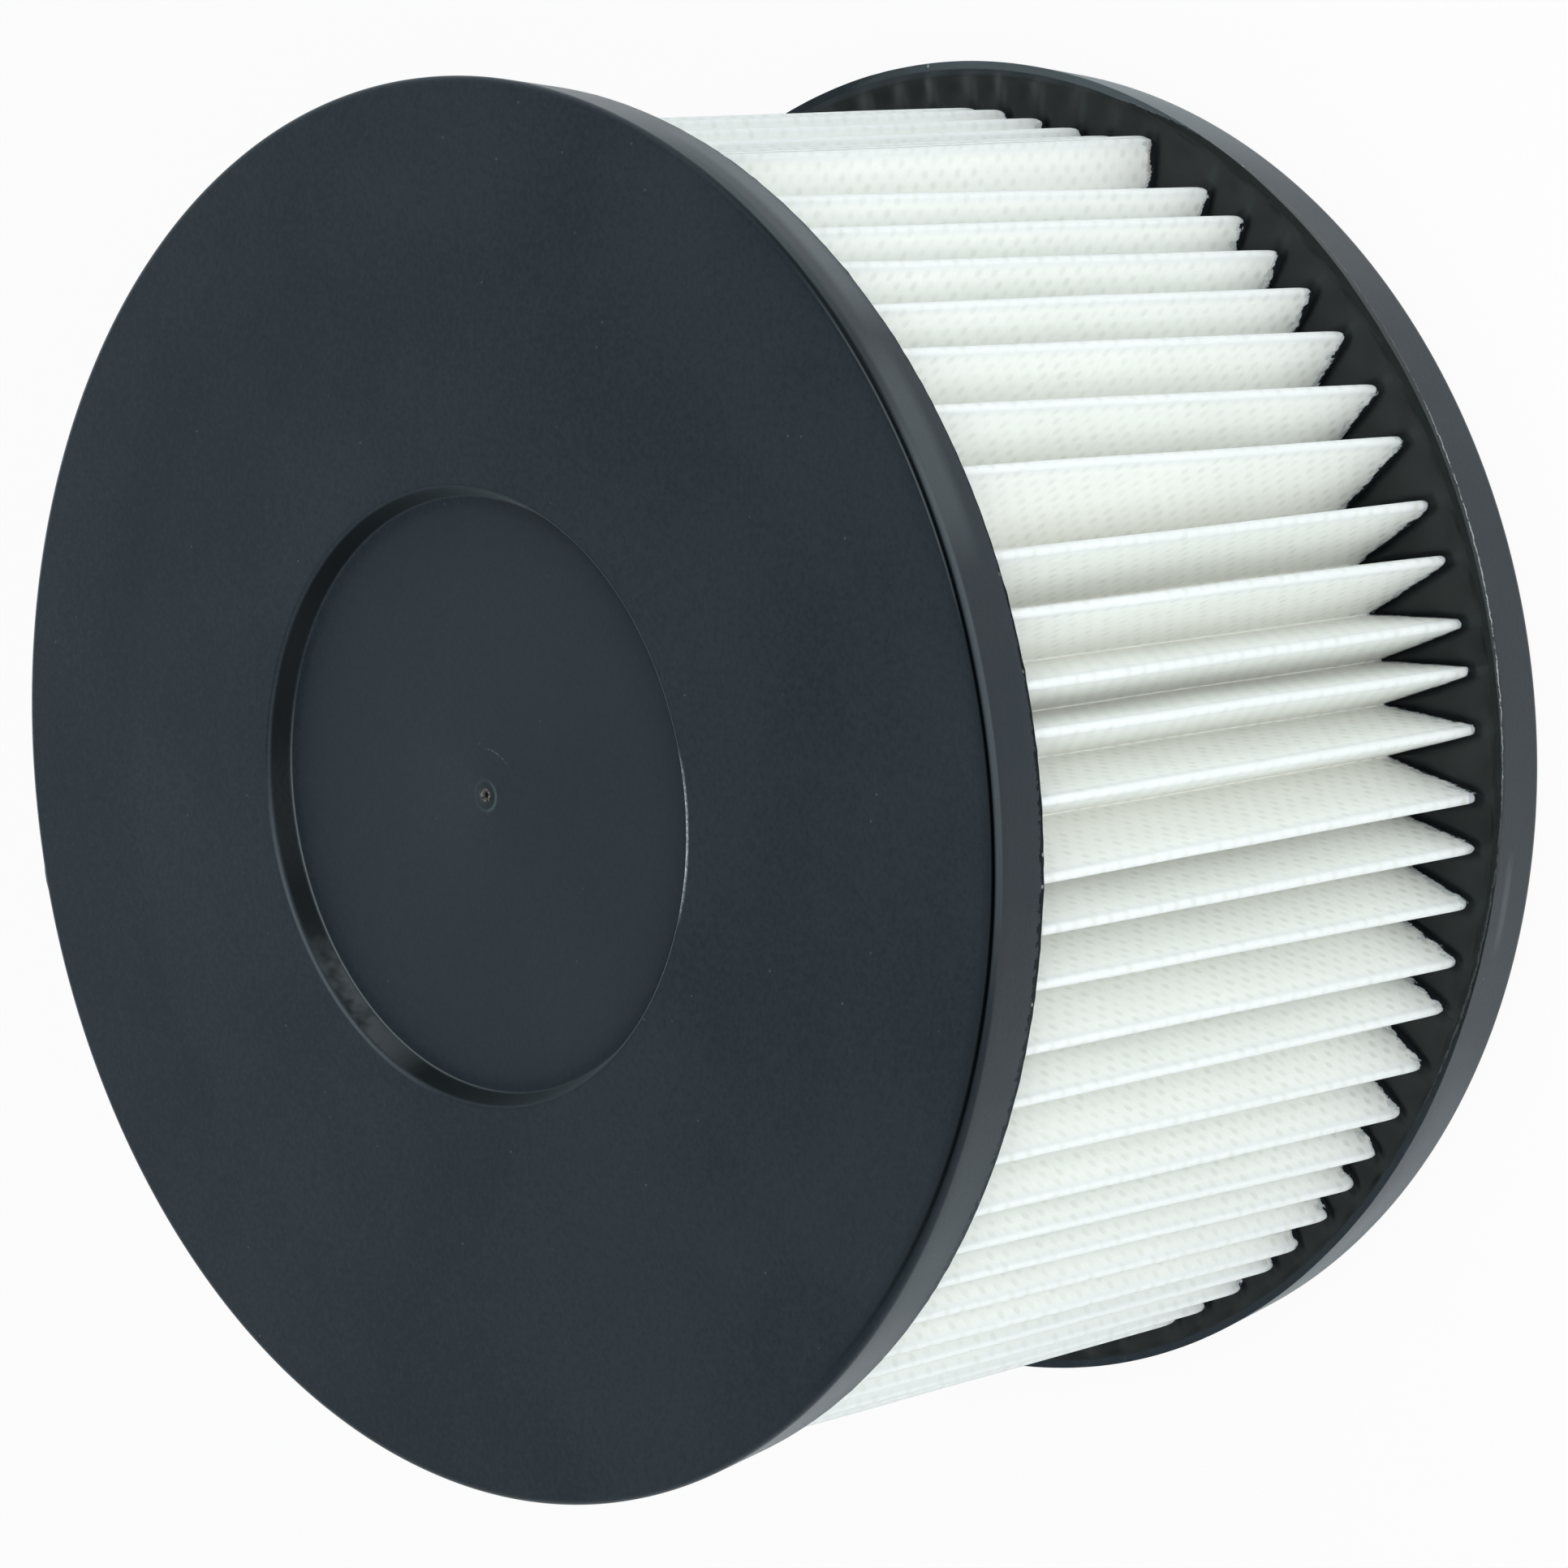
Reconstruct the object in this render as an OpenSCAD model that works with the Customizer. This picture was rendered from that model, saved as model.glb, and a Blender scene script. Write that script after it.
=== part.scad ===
// Pleated filter cartridge for a vacuum cleaner.
// It stands on its open end, centred on the origin, with the closed end plate on top.

/* [End plate] */
// Outer diameter of the closed end plate
plate_d = 180; // [170:1:200]
// Height of the plate's rim, from its face to its lower edge
plate_h = 9.1; // [8:0.1:14]
// Thickness of the plate's face
face_t = 2.2; // [1.6:0.1:2.8]
// Thickness of the plate's rim at its lower edge
rim_t = 1.8; // [1.2:0.1:2.6]
// How far the rim draws in from its widest place to its lower edge
rim_draft = 0.9; // [0.3:0.1:1.4]
// Diameter of the recess in the plate's face
recess_d = 78.6; // [50:0.2:110]
// Depth of the recess
recess_h = 3; // [1.5:0.1:5]
// How far the wall of the recess draws in towards its floor
recess_draft = 1.4; // [0.6:0.1:3]
// Diameter of the raised ring left where the mould was filled
gate_d = 4.2; // [3:0.2:8]
// How far in from the rim the crease round the face lies
crease_in = 1.1; // [0.9:0.1:2]

/* [Open end ring] */
// Outer diameter of the open end ring
ring_d = 181; // [172:1:200]
// Height of the ring without its gasket
ring_h = 9.8; // [9:0.1:14]
// Thickness of the ring's floor
floor_t = 2.2; // [1.6:0.1:2.6]
// Width of the lip round the ring's upper edge
lip_w = 1.1; // [0.9:0.1:1.6]
// How far the ring's side draws in from its lip to its lower edge
ring_draft = 1.4; // [0.4:0.1:2]
// Diameter of the opening that the collar of the machine enters
bore_d = 130; // [110:0.5:133]
// Height of the collar round the opening
collar_h = 3; // [2.6:0.1:5]

/* [Pleated media] */
// Number of pleats
pleats = 74; // [60:1:80]
// Thickness of the filter fabric
media_t = 0.65; // [0.45:0.05:0.8]
// Depth of the pleats, over the fabric
pleat_h = 15; // [10:0.5:18]
// Extra angle left open beside the seam
seam_open = 3.9; // [0:0.1:5]
// Thickness of the glue in the seam
seam_glue = 0.3; // [0.2:0.05:0.4]
// Angle of the seam round the axis
seam_at = 27; // [0:1:359]
// How far the pleats bunch and spread round the cartridge, in degrees
bunching = 1.8; // [0:0.1:2.4]
// How far a single pleat strays from its place, in degrees
stray = 0.66; // [0:0.02:0.7]

/* [Support cage] */
// Thickness of the cage's wall
cage_t = 1.4; // [1:0.1:2]
// Number of upright bars
cage_bars = 24; // [18:1:30]
// Width of the cage's bars and hoops
bar_w = 3; // [2:0.5:4]
// Number of rows of windows
cage_rows = 5; // [3:1:7]

/* [Potting] */
// How far the compound lies below the edge of its trough
pot_drop = 0.7; // [0.3:0.1:1.2]
// Compound between the floor of the trough and the fabric's edge
pot_bed = 1; // [0.5:0.1:1.4]
// Thickness of the inner wall of each trough
core_t = 1.8; // [1.2:0.1:2.4]
// Height of the inner wall of each trough, from the outer face
core_h = 8; // [7:0.1:10]

/* [Gasket] */
// Width of the gasket
gasket_w = 8; // [5:0.5:9]
// How far the gasket stands out of the ring
gasket_out = 1; // [0.6:0.1:2]
// Depth of the groove that the gasket sits in
groove_h = 1.6; // [1:0.1:2]

/* [Cartridge] */
// Whole height, gasket included
overall_h = 105; // [90:1:140]
// Gap between the pleat tips and the trough's outer wall
tip_gap = 0.9; // [0.5:0.1:1.5]
// Gap between the cage and the pleats
cage_gap = 0.3; // [0.2:0.1:0.6]
// Gap between the cage and the inner wall that it slides over
cage_fit = 0.2; // [0.1:0.05:0.4]
// Gap between the compound and the fabric or the walls round it
pot_fit = 0.05; // [0.03:0.01:0.08]
// Gap on each side of the gasket
gasket_fit = 0.15; // [0.1:0.05:0.3]

/* [Hidden] */
$fn = 180;
slate = [0.19, 0.22, 0.26];
compound = [0.11, 0.12, 0.14];
fabric = [0.87, 0.88, 0.84];
foam = [0.08, 0.08, 0.09];
edge_r = 0.5;
fillet_r = 0.8;
overlap = 1;
foot_gap = 0.4;

// Radii, from the rim inwards
plate_r = plate_d / 2;
ring_r = ring_d / 2;
rim_in = plate_r - rim_draft - rim_t;
lip_in = ring_r - lip_w;
ring_in = lip_in - ring_draft;
tip_r = min(rim_in, ring_in) - tip_gap;
valley_r = tip_r - pleat_h;
cage_out = valley_r - cage_gap;
cage_in = cage_out - cage_t;
core_out = cage_in - cage_fit;
core_in = core_out - core_t;
foot_r = cage_out + foot_gap;
pot_in = cage_out + pot_fit;
bore_r = min(bore_d / 2, core_in);

// Heights, from the floor upwards
ring_z = gasket_out;
lip_z = ring_z + ring_h;
bed_z = ring_z + groove_h + floor_t;
pot_open_z = lip_z - pot_drop;
rim_z = overall_h - plate_h;
pot_closed_z = rim_z + pot_drop;
under_z = overall_h - face_t;
media_z0 = bed_z + pot_fit + pot_bed;
media_z1 = under_z - pot_fit - pot_bed;

// Gasket groove
groove_in = foot_r + floor_t;
groove_out = groove_in + gasket_w + 2 * gasket_fit;

// Points of an arc round c, from angle a0 to a1 in n steps
function arc(c, r, a0, a1, n) =
    [for (i = [0:n]) c + r * [cos(a0 + (a1 - a0) * i / n), sin(a0 + (a1 - a0) * i / n)]];
function unit(a) = [cos(a), sin(a)];
function reverse(p) = [for (i = [len(p) - 1:-1:0]) p[i]];

// Angle a, turned by whole turns until it lies within half a turn of b
function near(a, b) = b + (a - b + 1260) % 360 - 180;

// The pleats bunch three times round the cartridge, and each strays a little
pitch = (360 - seam_open) / pleats;
function pleat_angle(k) =
    k == 0 ? seam_at :
    k == pleats ? seam_at + 360 :
    seam_at + seam_open + k * pitch
    + bunching * (1 - cos(3 * 360 * (k - 3.2) / pleats))
    + stray * (0.6 * sin(141 * k + 67) - sin(32 * k));

// Each fold bends round a centre, on the inside of a tip and on the outside of a valley
function tip_centre(k) = (tip_r - media_t) * unit(pleat_angle(k));
function valley_centre(k) = (valley_r + media_t) * unit(valley_angle(k));
function valley_angle(k) = (pleat_angle(k) + pleat_angle(k + 1)) / 2;
function is_seam(k) = k == 0 || k == pleats;
function fold_r(k) = media_t / 2 + (is_seam(k) ? seam_glue / 2 : 0);

// Direction square to a flank that joins the centres c and d, for fold radii that add up to s
function flank(c, d, s, side) =
    let (e = d - c) atan2(e.y, e.x) + side * acos(s / norm(e));
function leaving(k) = near(flank(tip_centre(k), valley_centre(k), fold_r(k) + media_t / 2, -1),
                           pleat_angle(k));
function arriving(k) = near(flank(tip_centre(k), valley_centre(k - 1), fold_r(k) + media_t / 2, 1),
                            pleat_angle(k));

// Where two flank faces at distance r from the centre c meet in a sharp crease
function crease(c, r, a, b) =
    c + r * (unit(a) + unit(b)) / (1 + unit(a) * unit(b));

// The outer and the inner face of the fabric, each at distance h from its middle
function outer_face(h) = [
    for (k = [0:pleats - 1]) each concat(
        is_seam(k) ? [] : arc(tip_centre(k), fold_r(k) + h, arriving(k), leaving(k), 5),
        [crease(valley_centre(k), media_t / 2 - h, leaving(k) + 180, arriving(k + 1) + 180)])];
function inner_face(h) = [
    for (k = [0:pleats - 1]) each concat(
        is_seam(k) ? [] : [crease(tip_centre(k), fold_r(k) - h, arriving(k), leaving(k))],
        arc(valley_centre(k), media_t / 2 + h, leaving(k) + 180,
            near(arriving(k + 1) + 180, valley_angle(k) + 90), 4))];

// The two cut ends of the fabric, which lie side by side in the seam
function seam_end(k, a, side, r, run) =
    tip_centre(k) + r * unit(a) + run * unit(a + side * 90);
function media_outline(extra) =
    let (h = media_t / 2 + extra)
    concat(
        [seam_end(0, leaving(0), -1, fold_r(0) + h, extra)],
        outer_face(h),
        [seam_end(pleats, arriving(pleats), 1, fold_r(0) + h, extra),
         seam_end(pleats, arriving(pleats), 1, fold_r(0) - h, extra)],
        reverse(inner_face(h)),
        [seam_end(0, leaving(0), -1, fold_r(0) - h, extra)]);

// The pleats run clockwise seen from above
module media_section(extra) {
    polygon([for (p = media_outline(extra)) [p.x, -p.y]]);
}

module closed_end_plate() {
    top = overall_h;
    bottom = top - recess_h;
    recess_r = recess_d / 2;
    recess_in = recess_r - recess_draft;
    gate_r = gate_d / 2;
    crease_r = plate_r - crease_in;
    color(slate)
        rotate_extrude()
            polygon(concat(
                [[0, bottom - 0.35], [0.35, bottom - 0.35], [0.6, bottom + 0.15]],
                arc([gate_r - 0.7, bottom - 0.1], 0.4, 110, 30, 3),
                [[gate_r, bottom]],
                arc([recess_in - fillet_r, bottom + fillet_r], fillet_r, -90, -10, 4),
                arc([recess_r + edge_r, top - edge_r], edge_r, 170, 90, 4),
                arc([crease_r - edge_r, top - edge_r], edge_r, 90, 10, 4),
                [[crease_r, top - 0.7]],
                arc([plate_r - 0.9, top - 1.5], 0.9, 80, 0, 6),
                [[plate_r - rim_draft, rim_z + 0.2], [plate_r - rim_draft - 0.2, rim_z],
                 [rim_in, rim_z], [rim_in, under_z],
                 [core_out, under_z], [core_out, top - core_h],
                 [core_in, top - core_h], [core_in, under_z],
                 [recess_r + face_t, under_z], [recess_in + face_t, bottom - face_t],
                 [0, bottom - face_t]]));
}

module open_end_ring() {
    wall_z = ring_z + floor_t;
    color(slate)
        rotate_extrude()
            polygon(concat(
                [[bore_r, ring_z + 0.6], [bore_r + 0.6, ring_z],
                 [groove_in, ring_z], [groove_in, ring_z + groove_h],
                 [groove_out, ring_z + groove_h], [groove_out, ring_z]],
                arc([ring_r - ring_draft - 1, ring_z + 1], 1, -90, 0, 6),
                arc([ring_r - 0.3, lip_z - 0.3], 0.3, 0, 90, 3),
                [[lip_in + 0.2, lip_z], [lip_in, lip_z - 0.2],
                 [ring_in, wall_z], [groove_out + floor_t, wall_z],
                 [groove_out + floor_t, bed_z], [foot_r, bed_z],
                 [foot_r, wall_z], [core_out, wall_z],
                 [core_out, ring_z + core_h], [core_in, ring_z + core_h],
                 [core_in, ring_z + collar_h], [bore_r, ring_z + collar_h]]));
}

module pleated_media() {
    color(fabric)
        translate([0, 0, media_z0])
            linear_extrude(media_z1 - media_z0)
                media_section(0);
}

module support_cage() {
    foot = ring_z + floor_t;
    height = under_z - pot_fit - foot;
    span = rim_z - lip_z - bar_w;
    window_h = span / cage_rows - bar_w;
    window_w = 2 * cage_in * sin(180 / cage_bars) - bar_w;
    color(slate)
        difference() {
            translate([0, 0, foot])
                rotate_extrude()
                    translate([cage_in, 0])
                        square([cage_t, height]);
            for (row = [0:cage_rows - 1], bar = [0:cage_bars - 1])
                rotate(bar * 360 / cage_bars)
                    translate([cage_in * cos(180 / cage_bars) - overlap, -window_w / 2,
                               lip_z + bar_w + row * span / cage_rows])
                        cube([cage_t + 4 * overlap, window_w, window_h]);
        }
}

module potting_closed() {
    color(compound)
        difference() {
            rotate_extrude()
                translate([pot_in, pot_closed_z])
                    square([rim_in - pot_fit - pot_in, under_z - pot_fit - pot_closed_z]);
            translate([0, 0, pot_closed_z - overlap])
                linear_extrude(media_z1 + pot_fit - pot_closed_z + overlap)
                    media_section(pot_fit);
        }
}

module potting_open() {
    floor_z = ring_z + floor_t + pot_fit;
    step_r = groove_out + floor_t + pot_fit;
    slope = (lip_in - ring_in) / (lip_z - 0.2 - ring_z - floor_t);
    color(compound)
        difference() {
            rotate_extrude()
                polygon([
                    [pot_in, bed_z + pot_fit], [step_r, bed_z + pot_fit],
                    [step_r, floor_z], [ring_in - pot_fit, floor_z],
                    [ring_in - pot_fit + slope * (pot_open_z - floor_z), pot_open_z],
                    [pot_in, pot_open_z]]);
            translate([0, 0, media_z0 - pot_fit])
                linear_extrude(pot_open_z - media_z0 + pot_fit + overlap)
                    media_section(pot_fit);
        }
}

module gasket() {
    inside = groove_in + gasket_fit;
    outside = groove_out - gasket_fit;
    round_r = min(0.9, gasket_out);
    color(foam)
        rotate_extrude()
            polygon(concat(
                arc([inside + round_r, round_r], round_r, 180, 270, 5),
                arc([outside - round_r, round_r], round_r, 270, 360, 5),
                [[outside, ring_z + groove_h], [inside, ring_z + groove_h]]));
}

closed_end_plate();
open_end_ring();
pleated_media();
support_cage();
potting_closed();
potting_open();
gasket();
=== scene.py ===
"""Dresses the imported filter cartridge: folded media, potted ends, cage and gasket, in a plain studio."""

import math

import bmesh
import bpy
from mathutils import Matrix, Vector, kdtree, noise


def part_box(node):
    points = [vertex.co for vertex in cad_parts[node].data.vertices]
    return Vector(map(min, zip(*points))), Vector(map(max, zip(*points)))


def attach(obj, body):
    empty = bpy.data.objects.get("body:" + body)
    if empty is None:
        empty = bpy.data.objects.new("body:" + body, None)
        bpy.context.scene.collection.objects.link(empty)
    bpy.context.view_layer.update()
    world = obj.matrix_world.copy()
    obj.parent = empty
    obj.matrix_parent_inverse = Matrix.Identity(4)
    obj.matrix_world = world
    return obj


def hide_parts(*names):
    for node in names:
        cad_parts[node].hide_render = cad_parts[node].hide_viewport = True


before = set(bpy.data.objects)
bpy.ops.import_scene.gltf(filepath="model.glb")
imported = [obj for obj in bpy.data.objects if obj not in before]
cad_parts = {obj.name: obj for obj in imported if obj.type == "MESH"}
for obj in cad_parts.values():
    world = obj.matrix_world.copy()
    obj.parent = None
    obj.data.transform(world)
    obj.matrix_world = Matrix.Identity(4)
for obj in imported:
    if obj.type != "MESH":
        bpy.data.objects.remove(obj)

bl_info = {
    "name": "Pleated filter cartridge",
    "version": (1, 0, 0),
    "blender": (4, 5, 0),
    "location": "3D View > Sidebar > Filter",
    "description": "Folded media, potted end caps, cage and gasket, in a plain studio",
    "category": "Object",
}

# The pieces are modelled in millimetres and scaled to metres when they are finished.
MM = 0.001
TURN = 2 * math.pi


def extent(node):
    """Radius, lowest and highest place of a CAD node, in millimetres."""
    low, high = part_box(node)
    return max(high.x, high.y) / MM, low.z / MM, high.z / MM


PLATE_R, RIM_Z, TOP_Z = extent("closed_end_plate")
RING_R, RING_Z, LIP_Z = extent("open_end_ring")
CAGE_R, CAGE_Z0, CAGE_Z1 = extent("support_cage")
SEAL_R, FLOOR_Z, SEAL_Z = extent("gasket")
POT_R, POT_Z0, POT_Z = extent("potting_open")
DOME_R, DOME_Z, DOME_Z1 = extent("potting_closed")
MEDIA_Z0, MEDIA_Z1 = extent("pleated_media")[1:]

# Walls and gaps that the caps share, in millimetres, as in the CAD.
WALL_T = 2.2
CORE_T = 1.8
CORE_H = 8
CAGE_FIT = 0.2
CAGE_T = 1.4
CORE_OUT = CAGE_R - CAGE_T - CAGE_FIT
FIT = 0.05
BORE_R = 65
COLLAR_H = 3
# The closed plate's edge is a little wider in the photo than in the CAD, and its side a little longer.
EDGE_R = PLATE_R + 0.3
SIDE_Z = RIM_Z - 0.25


def colour(name, value, description):
    return bpy.props.FloatVectorProperty(
        name=name, description=description, subtype="COLOR", size=3, default=value, min=0, max=1
    )


def length(name, millimetres, description):
    return bpy.props.FloatProperty(
        name=name, description=description, unit="LENGTH", default=millimetres * MM, min=0, precision=5
    )


def angle(name, degrees, description):
    return bpy.props.FloatProperty(
        name=name, description=description, subtype="ANGLE", default=math.radians(degrees)
    )


class FilterMedia(bpy.types.PropertyGroup):
    """Fabric and folds."""

    pleats: bpy.props.IntProperty(name="Pleats", description="Number of pleats", default=74, min=12)
    fabric_t: length("Fabric", 0.55, "Thickness of the fabric")
    fold_r: length("Fold", 0.65, "Outer radius of a fold")
    tip_r: length("Tips", 87.2, "Distance of the furthest pleat tips from the axis")
    valley_r: length("Valleys", 71.4, "Distance of the valleys from the axis")
    uneven: length("Unevenness", 3.4, "How much shallower the pleats are on one side than on the other")
    uneven_at: angle("Shallow side", -34.7, "Where the pleats are shallowest, clockwise from +X")
    seam_proud: length("Proud seam", 1.8, "How far the seam stands out of the other pleats")
    pinch: length("Pinch", 0.6, "How far the tips are pressed in where they enter the compound")
    seam_t: length("Seam glue", 0.3, "Thickness of the glue in the seam")
    seam_at: angle("Seam", 27, "Where the seam is, clockwise from +X")
    seam_open: angle("Gap at the seam", 3.9, "Extra angle left open beside the seam")
    bunching: angle("Bunching", 1.8, "How far the pleats bunch and spread")
    stray: angle("Stray", 0.66, "How far a single pleat strays from its place")
    seam_dip: length("Dip", 0.75, "How far the pleats just before the seam are pressed in")
    emboss_w: length("Dots across", 3.2, "Distance between embossed dots along the cloth")
    emboss_h: length("Dots up", 3.0, "Distance between embossed dots along the folds")
    white: colour("Fabric", (0.925, 0.955, 0.925), "Colour of the fabric")
    # The tips' and valleys' colours are painted light: the valleys lighter and the tips darker, standing in for light
    # carried through the fabric.
    tip: colour("Tips", (0.85, 0.89, 0.885), "Colour of the fabric on the folds' tips")
    valley_fill_light: colour("Valleys", (0.96, 0.975, 0.935), "Colour of the fabric in the valleys")


class FilterCaps(bpy.types.PropertyGroup):
    """Moulded end caps."""

    slate: colour("Plastic", (0.0208, 0.0292, 0.0376), "Colour of the moulded plastic")
    roughness: bpy.props.FloatProperty(
        name="Roughness", description="Roughness of the moulded plastic", default=0.42, min=0, max=1
    )
    recess_d: length("Recess", 78.6, "Diameter of the recess in the closed plate")
    recess_h: length("Recess depth", 3.0, "Depth of the recess")
    recess_draft: length("Recess draft", 1.4, "How far the recess's wall draws in")
    lip_w: length("Lip", 1.1, "Width of the lip round the open ring")
    ring_draft: length("Ring draft", 1.4, "How far the open ring's side draws in towards the floor")
    plate_draft: length("Plate draft", 0.9, "How far the closed plate's side draws in")


class FilterCompound(bpy.types.PropertyGroup):
    """Cast compound that the media stands in."""

    dark: colour("Compound", (0.0130, 0.0176, 0.0180), "Colour of the compound")
    creep: length("Creep", 0.68, "How far the compound creeps up the wall")
    ridge: length("Ridges", 0.24, "Height of the ridges from the pleats to the wall")
    dip: length("Dip", 0.38, "How far the compound sinks beside the fabric")
    dip_w: length("Dip width", 0.5, "How far from the fabric the compound sinks")


class FilterStudio(bpy.types.PropertyGroup):
    """Camera, lamps and floor."""

    lens: bpy.props.FloatProperty(
        name="Lens", description="Focal length of the camera, in millimetres", default=122.5290, min=20
    )
    floor: colour("Floor", (0.9, 0.9, 0.9), "Colour of the floor")
    sky: bpy.props.FloatProperty(name="Sky", description="Strength of the light from all round", default=0.5)


def add(tree, kind, inputs=None, **settings):
    """Adds a shader node, with its settings and with inputs by their names or numbers."""
    node = tree.nodes.new("ShaderNode" + kind)
    for key, value in settings.items():
        setattr(node, key, value)
    for key, value in (inputs or {}).items():
        if isinstance(value, bpy.types.NodeSocket):
            tree.links.new(value, node.inputs[key])
        else:
            node.inputs[key].default_value = value
    return node


def maths(tree, operation, *values, clamp=False):
    """A Math node's result."""
    return add(tree, "Math", dict(enumerate(values)), operation=operation, use_clamp=clamp).outputs[0]


def ramp(tree, value, low, high, to_low=0.0, to_high=1.0):
    """The value, turned smoothly from low and high into to_low and to_high."""
    inputs = {"Value": value, "From Min": low, "From Max": high, "To Min": to_low, "To Max": to_high}
    return add(tree, "MapRange", inputs, interpolation_type="SMOOTHSTEP").outputs["Result"]


def blend(tree, mask, a, b):
    """Colour a where the mask is 0 and colour b where it is 1."""
    a, b = (v if isinstance(v, bpy.types.NodeSocket) else (*v, 1) for v in (a, b))
    return add(tree, "Mix", {0: mask, 6: a, 7: b}, data_type="RGBA").outputs[2]


def effect(name, inputs, build):
    """A node group made once. build gets the tree and the inputs, and returns the outputs by name."""
    tree = bpy.data.node_groups.get(name)
    if tree is None:
        tree = bpy.data.node_groups.new(name, "ShaderNodeTree")
        for key, value in inputs.items():
            kind = "NodeSocketVector" if value is None else "NodeSocketFloat"
            socket = tree.interface.new_socket(name=key, in_out="INPUT", socket_type=kind)
            if value is not None:
                socket.default_value = value
        source = tree.nodes.new("NodeGroupInput")
        made = build(tree, source.outputs)
        for key in made:
            tree.interface.new_socket(name=key, in_out="OUTPUT", socket_type="NodeSocketFloat")
        sink = tree.nodes.new("NodeGroupOutput")
        for key, value in made.items():
            tree.links.new(value, sink.inputs[key])
    return tree


def use(tree, group, **inputs):
    """Places a node group in a tree."""
    node = tree.nodes.new("ShaderNodeGroup")
    node.node_tree = group
    for key, value in inputs.items():
        if isinstance(value, bpy.types.NodeSocket):
            tree.links.new(value, node.inputs[key])
        else:
            node.inputs[key].default_value = value
    return node.outputs


def specks():
    """Small bright or dark specks: a share of the cells of a random pattern has one."""

    def build(tree, given):
        cells = add(tree, "TexVoronoi", {"Vector": given["Vector"], "Scale": given["Density"]})
        inside = ramp(tree, cells.outputs["Distance"], given["Size"], maths(tree, "MULTIPLY", given["Size"], 0.5))
        pick = add(tree, "SeparateColor", {0: cells.outputs["Color"]}).outputs[0]
        chosen = maths(tree, "LESS_THAN", pick, given["Share"])
        return {"Mask": maths(tree, "MULTIPLY", inside, chosen)}

    return effect("specks", {"Vector": None, "Density": 300.0, "Size": 0.1, "Share": 0.2}, build)


def mottle():
    """Soft patches and fine grain, each between 0 and 1."""

    def build(tree, given):
        patches = add(tree, "TexNoise", {"Vector": given["Vector"], "Scale": given["Patches"], "Detail": 3.0})
        grain = add(tree, "TexNoise", {"Vector": given["Vector"], "Scale": given["Grain"], "Detail": 2.0})
        return {
            "Patches": ramp(tree, patches.outputs[0], 0.3, 0.7),
            "Grain": grain.outputs[0],
        }

    return effect("mottle", {"Vector": None, "Patches": 40.0, "Grain": 2500.0}, build)


def polar():
    """Distance from the axis, angle round it in radians and height."""

    def build(tree, given):
        xyz = add(tree, "SeparateXYZ", {0: given["Vector"]}).outputs
        xx = maths(tree, "MULTIPLY", xyz[0], xyz[0])
        yy = maths(tree, "MULTIPLY", xyz[1], xyz[1])
        return {
            "Radius": maths(tree, "SQRT", maths(tree, "ADD", xx, yy)),
            "Angle": maths(tree, "ARCTAN2", xyz[1], xyz[0]),
            "Height": maths(tree, "ADD", xyz[2], 0.0),
        }

    return effect("polar", {"Vector": None}, build)


def new_material(name):
    """A material with its Principled shader and its Object coordinates."""
    material = bpy.data.materials.new(name)
    material.use_nodes = True
    tree = material.node_tree
    where = add(tree, "TexCoord").outputs["Object"]
    return material, tree, tree.nodes["Principled BSDF"], where


def bump(tree, height, distance, strength=1.0, normal=None):
    inputs = {"Height": height, "Distance": distance, "Strength": strength}
    if normal is not None:
        inputs["Normal"] = normal
    return add(tree, "Bump", inputs).outputs[0]


def near_to(tree, value, place, reach):
    """1 where the value is at the place, falling smoothly to 0 at the reach beside it."""
    return ramp(tree, maths(tree, "ABSOLUTE", maths(tree, "SUBTRACT", value, place)), reach, reach * 0.3)


def facing(tree, around, degrees, wide):
    """1 towards an angle round the axis, falling smoothly to 0 that many degrees beside it."""
    away = maths(tree, "COSINE", maths(tree, "SUBTRACT", around, math.radians(degrees)))
    return ramp(tree, away, math.cos(math.radians(wide)), 1.0)


def ragged_noise(tree, where, scale, low, high):
    """Fine noise, turned into patches between the two levels."""
    lumps = add(tree, "TexNoise", {"Vector": where, "Scale": scale, "Detail": 3.0, "Roughness": 0.7})
    return ramp(tree, lumps.outputs[0], low, high)


def product(tree, *values):
    result = values[0]
    for value in values[1:]:
        result = maths(tree, "MULTIPLY", result, value)
    return result


def plastic(name, s, marks=None):
    """Satin moulded plastic with soft mottling, fine grain and a little dust, and a piece's own marks and painted
    light.
    """
    if name in bpy.data.materials:
        return bpy.data.materials[name]
    material, tree, shader, where = new_material(name)
    m = use(tree, mottle(), Vector=where, Patches=28.0, Grain=1700.0)
    dust = use(tree, specks(), Vector=where, Density=330.0, Size=0.07, Share=0.22)["Mask"]
    fluff = use(tree, specks(), Vector=where, Density=90.0, Size=0.03, Share=0.25)["Mask"]
    tone = maths(tree, "ADD", maths(tree, "MULTIPLY", m["Patches"], 0.20), 0.55)
    tone = maths(tree, "ADD", tone, maths(tree, "MULTIPLY", m["Grain"], 0.75))
    base = add(tree, "VectorMath", {0: tuple(s.slate), "Scale": tone}, operation="SCALE").outputs[0]
    dusty = maths(tree, "MULTIPLY", maths(tree, "MAXIMUM", dust, fluff), 0.22)
    base = blend(tree, dusty, base, (0.26, 0.30, 0.32))
    rough = maths(tree, "ADD", maths(tree, "MULTIPLY", m["Patches"], 0.10), s.roughness - 0.05)
    normal = bump(tree, m["Grain"], 0.00003, 0.5)
    if marks:
        base, rough = marks(tree, where, base, rough)
    tree.links.new(base, shader.inputs["Base Color"])
    tree.links.new(rough, shader.inputs["Roughness"])
    tree.links.new(normal, shader.inputs["Normal"])
    shader.inputs["Specular IOR Level"].default_value = 0.18
    shader.inputs["Sheen Weight"].default_value = 0.14
    shader.inputs["Specular Tint"].default_value = (0.86, 0.96, 1.0, 1)
    shader.inputs["Sheen Roughness"].default_value = 0.4
    shader.inputs["Sheen Tint"].default_value = (0.72, 0.92, 1.0, 1)
    return material
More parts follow.
